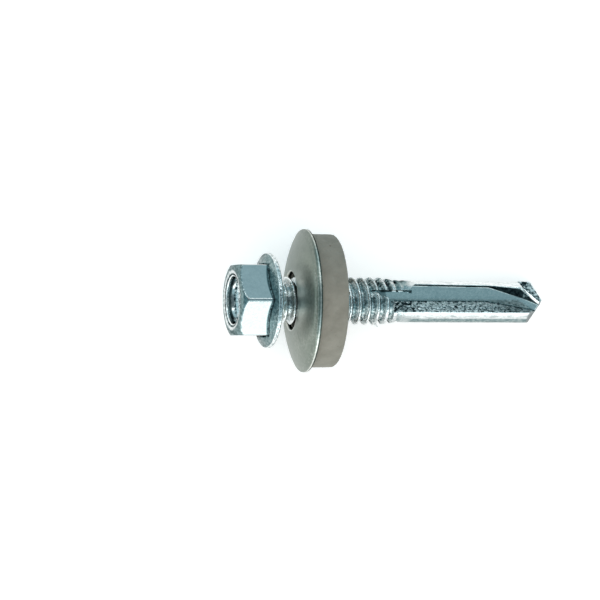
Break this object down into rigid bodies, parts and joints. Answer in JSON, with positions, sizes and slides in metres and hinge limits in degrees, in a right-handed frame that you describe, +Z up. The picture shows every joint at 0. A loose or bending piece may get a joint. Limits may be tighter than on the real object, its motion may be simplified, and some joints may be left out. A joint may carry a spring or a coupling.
{
  "type": "self-drilling screw",
  "caption": "Hexagon flange head self-drilling screw with a pinched drill point and a loose dished steel and rubber sealing washer on its shank.",
  "frame": {"origin": "bottom centre of the bounding box, on the floor the screw lies on", "axes": "+X along the floor from the head to the drill point, +Z up; the screw's axis leans 13.43 degrees down towards the point because it rests on the washer"},
  "size_m": [0.036, 0.0156, 0.0155],
  "materials": {
    "zinc_plated_steel": "bright blue-white zinc plating over cold-forged and rolled steel",
    "galvanised_steel": "satin galvanised sheet",
    "rubber": "matt warm grey moulded rubber with fine light specks"
  },
  "bodies": {
    "screw": {"screw": "zinc_plated_steel"},
    "washer": {"washer_plate": "galvanised_steel", "seal_ring": "rubber"}
  },
  "joints": [
    {"name": "washer_slide", "type": "slide", "parent": "screw", "child": "washer", "axis": [0.9727, 0, -0.2322], "range_m": [-0.0021, 0.008]}
  ]
}
